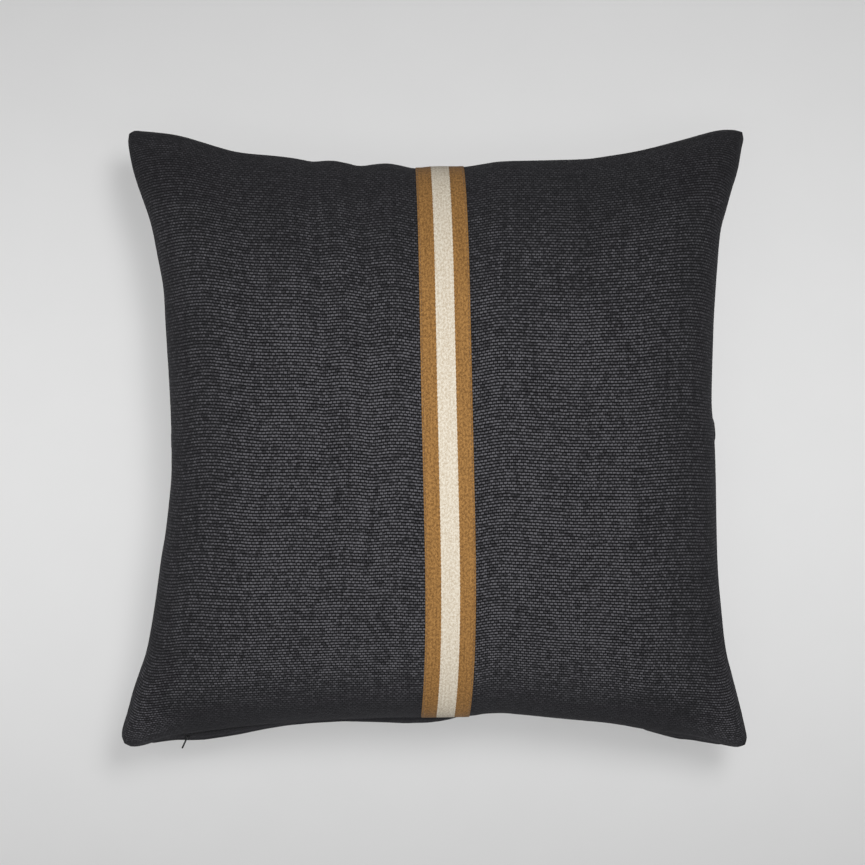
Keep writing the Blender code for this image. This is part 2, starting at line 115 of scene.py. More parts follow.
# The band
BAND_LIFT = 0.0007
BAND_END_INSET = 0.028  # the seams bow in this far from the corners at the band's ends
BAND_ROWS = 240
BAND_HALF_SPOTS = (0.4, 0.7, 0.93, 0.985, 1)  # shares of half its width
BAND_EDGE_LIFT = 0.1  # of the lift of the rest
BAND_REACH = 0.2  # share of the sheet each side of its middle that the band stays in
BAND_REACH_STEPS = 40
PALE_HALF = 7.0  # half the pale stripe's width, in millimetres
STITCH_INSET = 0.0014
STITCH_LENGTH = 0.0026
STITCH_GAP = 0.0007
STITCH_RADIUS = 0.00025
STITCH_ROW_END = 0.015  # from the seam
STITCH_RINGS = 5
STITCH_SIDES = 6
STITCH_END = 0.95  # share of half a stitch at which its end rings lie

# The zip's pull tab, from its pivot
TAB_LENGTH = 0.0104
TAB_WINDOW = 0.0028
TAB_PIVOT_WALL = 0.00045
TAB_THICKNESS = 0.0011
TAB_WINDOW_SHARE = 1 / 3  # of the tab's width
TAB_CORNER_POWER = 0.35  # the lower, the squarer
TAB_ROUNDING = 0.00015
TAB_STEPS = 32

# The seam's outline in millimetres, round each side from corner to corner
TOP_LEFT = (-242.5, 242.4)
TOP_RIGHT = (244.3, 243.8)
BOTTOM_LEFT = (-246.3, -241.6)
BOTTOM_RIGHT = (246.7, -242.6)
OUTLINE = {
    "top": (
        TOP_LEFT, (-239.5, 244.8), (-216, 243), (-200.5, 240.4), (-184.6, 235.8),
        (-168.7, 231), (-152.8, 227.3), (-122.7, 224.1), (-106.8, 221.7), (-98, 219.8),
        (-81.4, 220.5), (-69.5, 218.4), (-59.2, 216.1), (-49.6, 217.3), (-37.7, 218.2),
        (-27.4, 216.6), (-15, 214.1), (0, 215.2), (21.8, 215.2), (37.7, 217.6),
        (53.6, 219.9), (85.4, 220.7), (117, 221.7), (133, 223.7), (164.8, 229.5),
        (196.5, 237.6), (223.5, 244.8), (238, 245.4), TOP_RIGHT,
    ),
    "bottom": (
        BOTTOM_LEFT, (-242, -244.0), (-232, -243.4), (-215, -238.0), (-205, -235.5),
        (-190, -233.1), (-150, -228.0), (-100, -223.2), (-50, -220.4), (0, -219.6),
        (27, -219.2), (40, -217.4), (53.6, -216.8), (69.5, -218.2), (101, -221.5),
        (133, -224.7), (149, -227.1), (168, -230.6), (190, -233.6), (212, -237.9),
        (229, -242.8), (241, -244.6), BOTTOM_RIGHT,
    ),
    "left": (
        BOTTOM_LEFT, (-248.3, -236), (-247.6, -229), (-243.4, -215), (-239.2, -199.3),
        (-233.8, -183.4), (-228.6, -167.5), (-222.3, -136), (-216.4, -96), (-212.3, -72),
        (-208.7, -40.5), (-207.6, -24.6), (-207.8, 7), (-209.2, 39), (-212.2, 86.5),
        (-214.2, 118), (-219.5, 146), (-223.7, 166), (-228.6, 181.8), (-234.4, 197.7),
        (-239.4, 213.6), (-242.6, 229.5), (-243.3, 237.5), TOP_LEFT,
    ),
    "right": (
        BOTTOM_RIGHT, (248.1, -238), (246.8, -230), (243.4, -215), (239.4, -199.3),
        (235.3, -183.4), (231.5, -167.5), (227.5, -136), (224.4, -104), (223.3, -72),
        (222.5, -24.6), (221.3, 4), (219.3, 25), (219.3, 42), (220.2, 71), (221.5, 102),
        (224.7, 142), (227.4, 166), (231.6, 181.8), (236, 197.7), (240.8, 213.6),
        (243.6, 229.5), (245.5, 239.5), TOP_RIGHT,
    ),
}

# How far the back panel swells out past the seam, at places along each side, in millimetres
SWELLS = {
    "bottom": (
        (-240, 0), (-228, 1.5), (-215, 4), (-205, 5.5), (-195, 7.5), (-184, 8.6), (-165, 8.2),
        (-156, 7.7), (-138, 5.8), (-120, 4.4), (-100, 4.1), (-72, 4.6), (-43, 6.3), (-24, 7.4),
        (-5, 7.1), (5, 6), (14, 4.2), (24, 0.6), (32, 0), (150, 0), (165, 1.6), (176, 3.4),
        (186, 5), (195, 5.7), (205, 4.6), (214, 4.2), (224, 2.8), (240, 0),
    ),
    "left": ((-13, 0), (-8, 2.9), (3, 2.9), (14, 1.8), (32, 1.6), (44, 0)),
    "right": ((-10, 0), (2, 3.3), (14, 3.2), (24, 0), (58, 0), (66, 2.2), (82, 2.2), (92, 0)),
}
SWELL_START = 2.4  # how far below the seam a swell starts: the pull tab swings above it
SWELL_DEPTH = 6.0  # how much further down it is widest
SWELL_RANGE = 12.0  # how far in from the seam it fades out
SWELL_FULL = 2.0  # a reach from which on the cloth is pushed the whole way
SWELL_SIDE = 0.5  # share of the way from the middle to a side at which that side's swell starts

# The middle of the band, across the pillow, at shares of the way from the bottom to the top
BAND_PATH = ((-1.0, 8.6), (-0.55, 12.0), (0.0, 9.8), (0.5, 7.6), (1.0, 3.9))

# Weaves, in millimetres
PICK_PITCH = 2.33
FLOAT_LENGTH = 3.04
FLOAT_GAP = 0.85
FLOAT_STRETCH = 1.7  # draws the gaps between a row's floats closer than those between rows
TWILL_LENGTH = 2.2
TWILL_PITCH = 1.0
TWILL_GAP = 0.3
STRIPE_STEP = 1.55  # the height of a step in a stripe's edge
STRIPE_SLOPE = (0.2, 1.35)  # the part of that height over which the edge moves across
STRIPE_UNEVEN = 0.12  # how far an edge steps in and out, and how soft it is

# How crisp and lit the weave is: two distances from the middle of the cloth, in millimetres,
# and the crispness at each. Where it is low, the weave is painted flat and darker: painted shade
# towards the sides, the top and the bottom. A corner row adds to it, in the two lower corners.
CRISP_LIT_ASIDE = (240, 140, 0.35, 1.0)
CRISP_LIT_ABOVE = (200, 60, 0.3, 1.0)
CRISP_LIT_BELOW = (217, 174, 0.15, 1.0)
CRISP_LIT_CORNER_BELOW = (120, 190, 0.0, 1.0)
CRISP_LIT_CORNER_ASIDE = (170, 225, 0.0, 0.8)
# Painted sheen near the seams: how far in from the seam it starts, where it is full, and how much
# of it.
SEAM_SHEEN_START = 17  # from the seam, in millimetres
SEAM_SHEEN_FULL = 4
SEAM_SHEEN_SHARE = 0.6

# Colours, as linear light
CHARCOAL_DEEP = (0.0008, 0.0008, 0.0012, 1)
CHARCOAL_TOP = (0.104, 0.102, 0.112, 1)
BROWN_DEEP = (0.18, 0.086, 0.024, 1)
BROWN_TOP = (0.44, 0.228, 0.070, 1)
CREAM_DEEP = (0.56, 0.47, 0.35, 1)
CREAM_TOP = (0.83, 0.77, 0.655, 1)
# Painted highlight along the band's lower end, where its edge catches the light.
END_EDGE_HIGHLIGHT = (0.80, 0.70, 0.52, 1)
# Painted sheen: the lighter grey that the charcoal is painted near its seams.
SEAM_SHEEN_GREY = (0.19, 0.19, 0.19, 1)  # how lit the charcoal is at its seams, as a grey
SHEEN_TINT = (0.8, 0.8, 0.9, 1)
BLACK_PAINT = (0.006, 0.006, 0.007, 1)
BARE_METAL = (0.20, 0.19, 0.18, 1)
FLOOR_TONES = ((0.70, 0.70, 0.70, 1), (0.72, 0.72, 0.72, 1))
BROWN_THREAD = ((0.10, 0.05, 0.018, 1), (0.22, 0.12, 0.05, 1))
CHARCOAL_THREAD = ((0.012, 0.012, 0.014, 1), (0.035, 0.035, 0.04, 1))
CASING_THREAD = ((0.5, 0.49, 0.47, 1), (0.8, 0.79, 0.76, 1))
LABEL_SATIN = ((0.55, 0.54, 0.52, 1), (0.80, 0.79, 0.76, 1))
CASING_CLOTH = ((0.55, 0.54, 0.52, 1), (0.80, 0.79, 0.77, 1))
FIBRE = ((0.6, 0.59, 0.58, 1), (0.85, 0.84, 0.83, 1))

# Studio
FLOOR_HALF = 4.0
CAMERA_ABOVE_SEAM = 1.3
VIEW_WIDTH = 0.687  # what the picture takes in across, at the height of the seam
CAMERA_XY = (-0.0016, 0.0052)
SENSOR_WIDTH = 36  # in millimetres
WORLD_BRIGHTNESS = 0.12
SOFTBOX = {
    "place": (-0.02, -0.04, 1.15),
    "target": (0, 0, 0.1),
    "size": (0.6, 0.4),
    "power": 12.2,
}
BACKDROP_STRIP = {
    "place": (-0.9, -0.045, 0.72),
    "target": (-0.9, -0.045, 0),
    "size": (3.6, 0.2),
    "power": 12.2,
}
KEY = {
    "place": (0.38, 0.50, 1.5),
    "target": (0, 0, 0),
    "size": (0.5, 0.5),
    "power": 8.1,
}


# ---------------------------------------------------------------- shape


def smooth_line(points, steps):
    """Points at even steps along a smooth curve through the given points."""
    points = np.array(points, float)
    ends = np.vstack([2 * points[0] - points[1], points, 2 * points[-1] - points[-2]])
    fine = []
    for before, start, end, after in zip(ends, ends[1:], ends[2:], ends[3:]):
        t = np.linspace(0, 1, CURVE_STEPS, endpoint=False)[:, None]
        bend = 2 * before - 5 * start + 4 * end - after
        twist = 3 * start - before - 3 * end + after
        fine.append(0.5 * (2 * start + (end - before) * t + bend * t**2 + twist * t**3))
    fine = np.vstack([*fine, points[-1:]])
    run = np.concatenate([[0], np.cumsum(np.linalg.norm(np.diff(fine, axis=0), axis=1))])
    even = np.linspace(0, run[-1], steps + 1)
    return np.stack([np.interp(even, run, fine[:, i]) for i in (0, 1)], axis=1)


def dome(share):
    """The height of a dome's section, from 0 at the seams (-1 and 1) to 1 in the middle."""
    return np.maximum(1 - share**2, 0) ** DOME_POWER


def even_cuts(cells):
    """Shares across the pillow that cut the cloth of its middle section into even lengths."""
    fine = np.sin(np.linspace(-1, 1, SECTION_STEPS + 1) * math.pi / 2)
    rise = dome(fine) * (CROWN_Z - SEAM_Z) / FRONT_HIGH.x
    run = np.concatenate([[0], np.cumsum(np.hypot(np.diff(fine), np.diff(rise)))])
    return np.interp(np.linspace(0, run[-1], cells + 1), run, fine)


def plan_shares(cells):
    """Where the grid's points lie across and up the plan, from -1 to 1: evenly along the seams,
    and inside them by lengths of cloth."""
    even, cut = np.linspace(-1, 1, cells + 1), even_cuts(cells)
    bulge = dome(even)
    across = even[:, None] + (cut - even)[:, None] * bulge[None, :]
    return across, across.T


def plan_grid(cells):
    """Places in plan of the grid's points, filled in between the four sides of the seam."""
    fine = SEAM_STEPS * cells
    even = np.linspace(-1, 1, fine + 1)
    sides = {name: smooth_line(points, fine) * MM for name, points in OUTLINE.items()}
    u, v = plan_shares(cells)

    def along(side, share):
        return np.stack([np.interp(share, even, sides[side][:, axis]) for axis in (0, 1)], axis=-1)

    s, t = (u[..., None] + 1) / 2, (v[..., None] + 1) / 2
    across = (1 - s) * along("left", v) + s * along("right", v)
    up = (1 - t) * along("bottom", u) + t * along("top", u)
    corners = (
        (1 - s) * (1 - t) * sides["bottom"][0]
        + s * (1 - t) * sides["bottom"][-1]
        + (1 - s) * t * sides["top"][0]
        + s * t * sides["top"][-1]
    )
    return across + up - corners


def grid_faces(columns, rows, offset=0, flip=False):
    """Quads of a grid of points whose numbers run up each column in turn."""
    faces = []
    for i in range(columns):
        for j in range(rows):
            a = offset + i * (rows + 1) + j
            quad = (a, a + rows + 1, a + rows + 2, a + 1)
            faces.append(quad[::-1] if flip else quad)
    return faces


def domed_sheets(plan):
    """The front and back sheets as plain domes, from which the simulation starts."""
    u, v = plan_shares(len(plan) - 1)
    share = dome(u) * dome(v)
    front = np.dstack([plan, SEAM_Z + (CROWN_Z - SEAM_Z) * share])
    back = np.dstack([plan, SEAM_Z - (SEAM_Z + DOME_BELOW_FLOOR) * share])
    return front, back


def flat_sheet(cells):
    """A sheet as it is cut: its grid of points, flat at the height of the seam."""
    line = np.linspace(-SHEET_SIDE / 2, SHEET_SIDE / 2, cells + 1)
    flat = np.stack(np.meshgrid(line, line, indexing="ij"), axis=-1)
    return np.dstack([flat, np.full(flat.shape[:2], SEAM_Z)])


def sewn_numbers(cells):
    """Numbers of both sheets' points in one mesh, and which of them are the rim that they share."""
    count = (cells + 1) ** 2
    front = np.arange(count).reshape(cells + 1, cells + 1)
    rim = np.ones((cells + 1, cells + 1), bool)
    rim[1:-1, 1:-1] = False
    back = front.copy()
    back[~rim] = count + np.arange((~rim).sum())
    return front, back, rim


def sewn_cover(front, back):
    """Both sheets as one object, with their cut shape as a shape key and their seam as a group."""
    cells = len(front) - 1
    front_numbers, back_numbers, rim = sewn_numbers(cells)
    numbers = np.concatenate([front_numbers.ravel(), back_numbers.ravel()])
    faces = grid_faces(cells, cells) + grid_faces(cells, cells, (cells + 1) ** 2, flip=True)
    faces = [tuple(int(numbers[corner]) for corner in face) for face in faces]
    mesh = bpy.data.meshes.new("blown_cover")
    mesh.from_pydata(np.vstack([front.reshape(-1, 3), back[~rim]]).tolist(), [], faces)
    cover = bpy.data.objects.new("blown_cover", mesh)
    bpy.context.scene.collection.objects.link(cover)
    cover.shape_key_add(name="sewn")
    cut = cover.shape_key_add(name="cut")
    flat = flat_sheet(cells)
    both = np.vstack([flat.reshape(-1, 3), flat[~rim] - [0, 0, SHEET_GAP]])
    cut.data.foreach_set("co", both.ravel())
    cover.active_shape_key_index = 0
    seam = cover.vertex_groups.new(name="seam")
    seam.add([int(number) for number in front_numbers[rim]], 1.0, "REPLACE")
    return cover


def blow_up(cover):
    """The points of the cover after a cloth simulation with air pressure inside it."""
    cloth = cover.modifiers.new("blow_up", "CLOTH")
    settings = cloth.settings
    settings.rest_shape_key = cover.data.shape_keys.key_blocks["cut"]
    settings.vertex_group_mass = "seam"
    settings.use_pressure = True
    settings.effector_weights.gravity = 0
    for name, value in CLOTH_SETTINGS.items():
        setattr(settings, name, value)
    cloth.collision_settings.use_self_collision = False
    cloth.point_cache.frame_start = 1
    cloth.point_cache.frame_end = FRAMES
    for number in range(1, FRAMES + 1):
        bpy.context.scene.frame_set(number)
    graph = bpy.context.evaluated_depsgraph_get()
    shape = cover.evaluated_get(graph).to_mesh()
    points = np.empty(len(shape.vertices) * 3, np.float32)
    shape.vertices.foreach_get("co", points)
    return points.reshape(-1, 3).astype(float)


def inflate(plan):
    """The front and back sheets of the cover, blown up, as grids of points."""
    front, back = domed_sheets(plan)
    cover = sewn_cover(front, back)
    points = blow_up(cover)
    bpy.data.objects.remove(cover)
    bpy.context.scene.frame_set(1)
    front_numbers, back_numbers, _ = sewn_numbers(len(plan) - 1)
    return points[front_numbers], points[back_numbers]


def smooth_step(value, low, high):
    """0 up to low, 1 from high on, and a smooth rise between them."""
    share = np.clip((value - low) / (high - low), 0, 1)
    return share * share * (3 - 2 * share)


def side_rims(grid):
    """The four rims of a grid of points, as views that run from corner to corner."""
    return {"left": grid[0], "right": grid[-1], "bottom": grid[:, 0], "top": grid[:, -1]}


def swell(back):
    """Pushes the back sheet out past the seam where the pillow's own weight swells it."""
    seams = {side: rim.copy() / MM for side, rim in side_rims(back).items()}
    depth = np.maximum((SEAM_Z - back[..., 2]) / MM - SWELL_START, 0) / SWELL_DEPTH
    below = (depth * np.exp(1 - depth)) ** 2
    for side, places in SWELLS.items():
        axis = 0 if side in ("left", "right") else 1
        outwards = -1 if side in ("left", "bottom") else 1
        by_side = np.linspace(-1, 1, back.shape[axis]) * outwards > SWELL_SIDE
        own_side = by_side[:, None] if axis == 0 else by_side[None, :]
        along = back[..., 1 - axis] / MM
        seam = np.interp(along, seams[side][:, 1 - axis], seams[side][:, axis])
        reach = np.interp(along, *zip(*places))
        past_seam = outwards * (back[..., axis] / MM - seam)
        near = np.exp(-((past_seam / SWELL_RANGE) ** 2))
        share = near * below * own_side * np.clip(reach / SWELL_FULL, 0, 1)
        back[..., axis] += outwards * MM * share * (reach - past_seam)


def settle(front, back):
    """Fits the blown-up sheets to the frame's heights: the crown, the flat base and the seam."""
    rise = front[..., 2] - SEAM_Z
    front[..., 2] = SEAM_Z + rise * (CROWN_Z - SEAM_Z) / rise.max()
    floor = (back[..., 2] + np.sqrt(back[..., 2] ** 2 + FLAT_SOFTNESS**2)) / 2
    back[..., 2] = (floor - floor.min()) * SEAM_Z / (floor[0, 0] - floor.min())
    swell(back)
    for sheet, face in ((front, 1), (back, -1)):
        for side, rim in side_rims(sheet).items():
            rim[:, 2] = SEAM_Z + face * SEAM_GAP
            if side == "bottom":
                aside = np.abs(rim[:, 0])
                zip_open = 1 - smooth_step(aside, MOUTH_HALF, MOUTH_HALF + MOUTH_CLOSING)
                rim[:, 2] += face * zip_open * (MOUTH_GAP - SEAM_GAP)


class Surface:
    """A sheet of the cover as a smooth surface over its flat cloth, from -1 to 1 each way."""

    def __init__(self, points, face):
        self.face = face
        self.cells = len(points) - 1
        first, last = 2 * points[:1] - points[1:2], 2 * points[-1:] - points[-2:-1]
        padded = np.concatenate([first, points, last])
        low, high = 2 * padded[:, :1] - padded[:, 1:2], 2 * padded[:, -1:] - padded[:, -2:-1]
        self.padded = np.concatenate([low, padded, high], axis=1)

    @staticmethod
    def weights(share):
        """The four weights of a smooth curve through evenly spaced points, at a share of the way
        from the second to the third."""
        t, t2, t3 = share, share**2, share**3
        return (
            (2 * t2 - t - t3) / 2,
            (2 - 5 * t2 + 3 * t3) / 2,
            (t + 4 * t2 - 3 * t3) / 2,
            (t3 - t2) / 2,
        )

    def at(self, u, v):
        """Points of the surface at shares u and v."""
        u, v = np.broadcast_arrays(np.asarray(u, float), np.asarray(v, float))
        places = [np.clip((w + 1) / 2, 0, 1) * self.cells for w in (u, v)]
        cell = [np.minimum(place.astype(int), self.cells - 1) for place in places]
        across = self.weights(places[0] - cell[0])
        up = self.weights(places[1] - cell[1])
        total = 0
        for i in range(4):
            for j in range(4):
                share = (across[i] * up[j])[..., None]
                total = total + share * self.padded[cell[0] + i, cell[1] + j]
        return total

    def normal(self, u, v):
        """Directions out of the cloth."""
        u, v = np.broadcast_arrays(np.asarray(u, float), np.asarray(v, float))
        step = 0.5 / self.cells
        along_u = self.at(np.minimum(u + step, 1), v) - self.at(np.maximum(u - step, -1), v)
        along_v = self.at(u, np.minimum(v + step, 1)) - self.at(u, np.maximum(v - step, -1))
        cross = np.cross(along_u, along_v) * self.face
        return cross / np.maximum(np.linalg.norm(cross, axis=-1, keepdims=True), 1e-12)


def finer(points):
    """The same sheet, smooth, with twice as many cells each way."""
    line = np.linspace(-1, 1, 2 * len(points) - 1)
    u, v = np.meshgrid(line, line, indexing="ij")
    return Surface(points, 1).at(u, v)


# ---------------------------------------------------------------- pieces


def add_piece(name, points, faces, material, flat=None, body="cushion"):
    """A mesh piece that rides on a CAD body. flat holds its places on the flat cloth, in mm."""
    mesh = bpy.data.meshes.new(name)
    mesh.from_pydata(np.asarray(points).tolist(), [], faces)
    mesh.materials.append(material)
    mesh.polygons.foreach_set("use_smooth", np.ones(len(mesh.polygons), bool))
    if flat is not None:
        corners = np.empty(len(mesh.loops), np.int32)
        mesh.loops.foreach_get("vertex_index", corners)
        layer = mesh.uv_layers.new(name="cloth")
        layer.uv.foreach_set("vector", np.asarray(flat, np.float32)[corners].ravel())
    mesh.update()
    piece = bpy.data.objects.new(name, mesh)
    bpy.context.scene.collection.objects.link(piece)
    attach(piece, body)
    return piece


def rim_order(cells):
    """Numbers of a square grid's rim points, once round, for points that run up each column."""
    rows = cells + 1
    bottom = [i * rows for i in range(cells)]
    right = [cells * rows + j for j in range(cells)]
    top = [i * rows + cells for i in range(cells, 0, -1)]
    left = list(range(cells, 0, -1))
    return bottom + right + top + left


def make_panel(name, sheet, node, material):
    """One panel of the cover, with its seam allowance turned in and opened round the zip."""
    cells = sheet.cells
    line = np.linspace(-1, 1, cells + 1)
    u, v = np.meshgrid(line, line, indexing="ij")
    points = sheet.at(u, v).reshape(-1, 3)
    flat = np.stack([u, v], axis=-1).reshape(-1, 2) * SHEET_SIDE / 2 / MM
    faces = grid_faces(cells, cells, flip=sheet.face < 0)
    ring = rim_order(cells)
    rim, rim_flat = points[ring], flat[ring]
    on_bottom = rim_flat[:, 1] == rim_flat[:, 1].min()
    zipped = on_bottom & (np.abs(rim[:, 0]) < MOUTH_HALF + CHANNEL_PAST_MOUTH)
    for depth, height in FLANGE:
        inner = rim * [1 - depth / FRONT_HIGH.x, 1 - depth / FRONT_HIGH.y, 1]
        inner[:, 2] += sheet.face * np.where(zipped, height * (CHANNEL - MOUTH_GAP), 0)
        start = len(points)
        points = np.vstack([points, inner])
        flat = np.vstack([flat, rim_flat * (1 + depth / FRONT_HIGH.x)])
        fresh = list(range(start, start + len(ring)))
        for a, b, c, d in zip(ring, fresh, fresh[1:] + fresh[:1], ring[1:] + ring[:1]):
            faces.append((a, b, c, d) if sheet.face < 0 else (d, c, b, a))
        ring = fresh
    panel = add_piece(name, points, faces, material, flat)
    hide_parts(node)


def shrunk_points(sheet, share, inset, cells):
    """A sheet inside the cover: its seam at a share of the cover's cloth, the rest at an inset."""
    line = np.linspace(-1, 1, cells + 1)
    u, v = np.meshgrid(line, line, indexing="ij")
    points = sheet.at(share * u, share * v) - inset * sheet.normal(share * u, share * v)
    edge = np.maximum(np.abs(u), np.abs(v))
    rise = np.sqrt(1 - edge**EDGE_POWER)
    points[..., 2] = SEAM_Z + (points[..., 2] - SEAM_Z) * rise + sheet.face * SEAM_GAP
    flat = np.stack([u, v], axis=-1) * share * SHEET_SIDE / 2 / MM
    return points.reshape(-1, 3), flat.reshape(-1, 2)


def make_insert_panel(name, sheet, node, material):
    """One panel of the insert's casing, a little inside the cover."""
    cells = sheet.cells // 2
    points, flat = shrunk_points(sheet, INSERT_SHARE, INSERT_INSET, cells)
    faces = grid_faces(cells, cells, flip=sheet.face < 0)
    panel = add_piece(name, points, faces, material, flat)
    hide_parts(node)


def make_fill(front, back, material):
    """The fibre inside the insert, as one closed pad."""
    cells = front.cells // 4
    top, flat = shrunk_points(front, FILL_SHARE, FILL_INSET, cells)
    base, _ = shrunk_points(back, FILL_SHARE, FILL_INSET, cells)
    count = len(top)
    faces = grid_faces(cells, cells) + grid_faces(cells, cells, count, flip=True)
    ring = rim_order(cells)
    for a, b in zip(ring, ring[1:] + ring[:1]):
        faces.append((b, a, a + count, b + count))
    pad = add_piece("fibre_fill", np.vstack([top, base]), faces, material, np.vstack([flat, flat]))
    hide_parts("insert_fill")


def on_band(front, v, aside):
    """The shares u of a line that runs aside of the band's middle, at shares v."""
    shares, offsets = zip(*BAND_PATH)
    path = np.polynomial.Polynomial.fit(shares, offsets, len(shares) - 1)
    line = np.linspace(-BAND_REACH, BAND_REACH, BAND_REACH_STEPS + 1)
    found = []
    for share in v:
        across = front.at(line, share)
        up = across[BAND_REACH_STEPS // 2, 1] / (FRONT_HIGH.y - BAND_END_INSET)
        x = path(np.clip(up, -1, 1)) * MM + aside
        found.append(np.interp(x, across[:, 0], line))
    return np.array(found)


def make_band(front, material):
    """The striped band, laid on the front panel and caught in its seams."""
    v = np.linspace(-1, 1, BAND_ROWS + 1)
    spots = [-spot for spot in BAND_HALF_SPOTS[::-1]] + [0, *BAND_HALF_SPOTS]
    points, flat = [], []
    for spot in spots:
        aside = spot * BAND_WIDTH / 2
        u = on_band(front, v, aside)
        lift = BAND_LIFT * (BAND_EDGE_LIFT if abs(spot) == 1 else 1)
        points.append(front.at(u, v) + lift * front.normal(u, v))
        flat.append(np.stack([np.full(len(v), aside), v * SHEET_SIDE / 2], axis=1) / MM)
    faces = grid_faces(len(spots) - 1, BAND_ROWS)
    band = add_piece("stripe_tape", np.vstack(points), faces, material, np.vstack(flat))
    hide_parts("stripe_band")


def tube_faces(rings, sides, start):
    """The sides and the two ends of a tube of rings, whose points are numbered from start."""
    faces = []
    for ring in range(rings - 1):
        first = start + ring * sides
        for k in range(sides):
            after = (k + 1) % sides
            faces.append((first + k, first + after, first + after + sides, first + k + sides))
    faces.append([start + k for k in range(sides - 1, -1, -1)])
    faces.append([start + (rings - 1) * sides + k for k in range(sides)])
    return faces


def stitch_points(front, low, high, aside):
    """Points of one stitch: rings round a line on the band, from low to high, fullest midway."""
    v = np.linspace(low, high, STITCH_RINGS)
    u = on_band(front, v, aside)
    out = front.normal(u, v)
    line = front.at(u, v) + BAND_LIFT * out
    along = np.gradient(line, axis=0)
    along /= np.linalg.norm(along, axis=1, keepdims=True)
    across = np.cross(along, out)
    widths = STITCH_RADIUS * np.sqrt(1 - np.linspace(-STITCH_END, STITCH_END, STITCH_RINGS) ** 2)
    points = []
    for centre, a, b, width in zip(line, across, out, widths):
        for angle in np.arange(STITCH_SIDES) * math.tau / STITCH_SIDES:
            points.append(centre + width * (a * math.cos(angle) + b * math.sin(angle)))
    return points


def make_stitches(name, front, side, node, material):
    """One row of stitches along an edge of the band."""
    pitch = STITCH_LENGTH + STITCH_GAP
    count = int((SHEET_SIDE - 2 * STITCH_ROW_END) / pitch)
    starts = (np.arange(count) - count / 2) * pitch + STITCH_GAP / 2
    aside = side * (BAND_WIDTH / 2 - STITCH_INSET)
    points, faces = [], []
    for low in starts / (SHEET_SIDE / 2):
        faces += tube_faces(STITCH_RINGS, STITCH_SIDES, len(points))
        points += stitch_points(front, low, low + STITCH_LENGTH / (SHEET_SIDE / 2), aside)
    row = add_piece(name, points, faces, material)
    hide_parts(node)


def rounded_loop(low, high, half_width):
    """Points round a rounded rectangle from low to high along X and half_width to each side."""
    angle = np.arange(TAB_STEPS) * math.tau / TAB_STEPS
    x = np.sign(np.cos(angle)) * np.abs(np.cos(angle)) ** TAB_CORNER_POWER
    y = np.sign(np.sin(angle)) * np.abs(np.sin(angle)) ** TAB_CORNER_POWER
    return np.stack([(low + high) / 2 + x * (high - low) / 2, y * half_width], axis=1)


def make_pull_tab(material):
    """The zip's pull: a flat plate on edge to the floor, with a window round its pivot."""
    pivot = Vector(JOINTS["pull_tab_swing"]["pos_m"])
    tab_low, tab_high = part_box("zip_pull_tab")
    tip = Vector((tab_low.x, tab_low.y, pivot.z))
    away = (tip - pivot).normalized()
    half_width = (tab_high.z - tab_low.z) / 2
    loops = (
        rounded_loop(-TAB_PIVOT_WALL, TAB_LENGTH, half_width),
        rounded_loop(TAB_PIVOT_WALL, TAB_WINDOW, half_width * TAB_WINDOW_SHARE),
    )
    points, faces = [], []
    for face in (-1, 1):
        for loop in loops:
            for x, y in loop:
                points.append((x, y, face * TAB_THICKNESS / 2))
    n = TAB_STEPS
    for k in range(n):
        m = (k + 1) % n
        faces.append((k, n + k, n + m, m))
        faces.append((2 * n + k, 2 * n + m, 3 * n + m, 3 * n + k))
        faces.append((k, m, 2 * n + m, 2 * n + k))
        faces.append((n + m, n + k, 3 * n + k, 3 * n + m))
    up = Vector((0, 0, 1))
    turn = Matrix((away, up, away.cross(up))).transposed()
    points = [pivot + turn @ Vector(point) for point in points]
    tab = add_piece("pull_tab_plate", points, faces, material, body="pull_tab")
    tab.data.polygons.foreach_set("use_smooth", np.zeros(len(tab.data.polygons), bool))
    rounding = tab.modifiers.new("rounding", "BEVEL")
    rounding.width = TAB_ROUNDING
    rounding.segments = 2
    rounding.limit_method = "ANGLE"
    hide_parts("zip_pull_tab")


# ---------------------------------------------------------------- materials


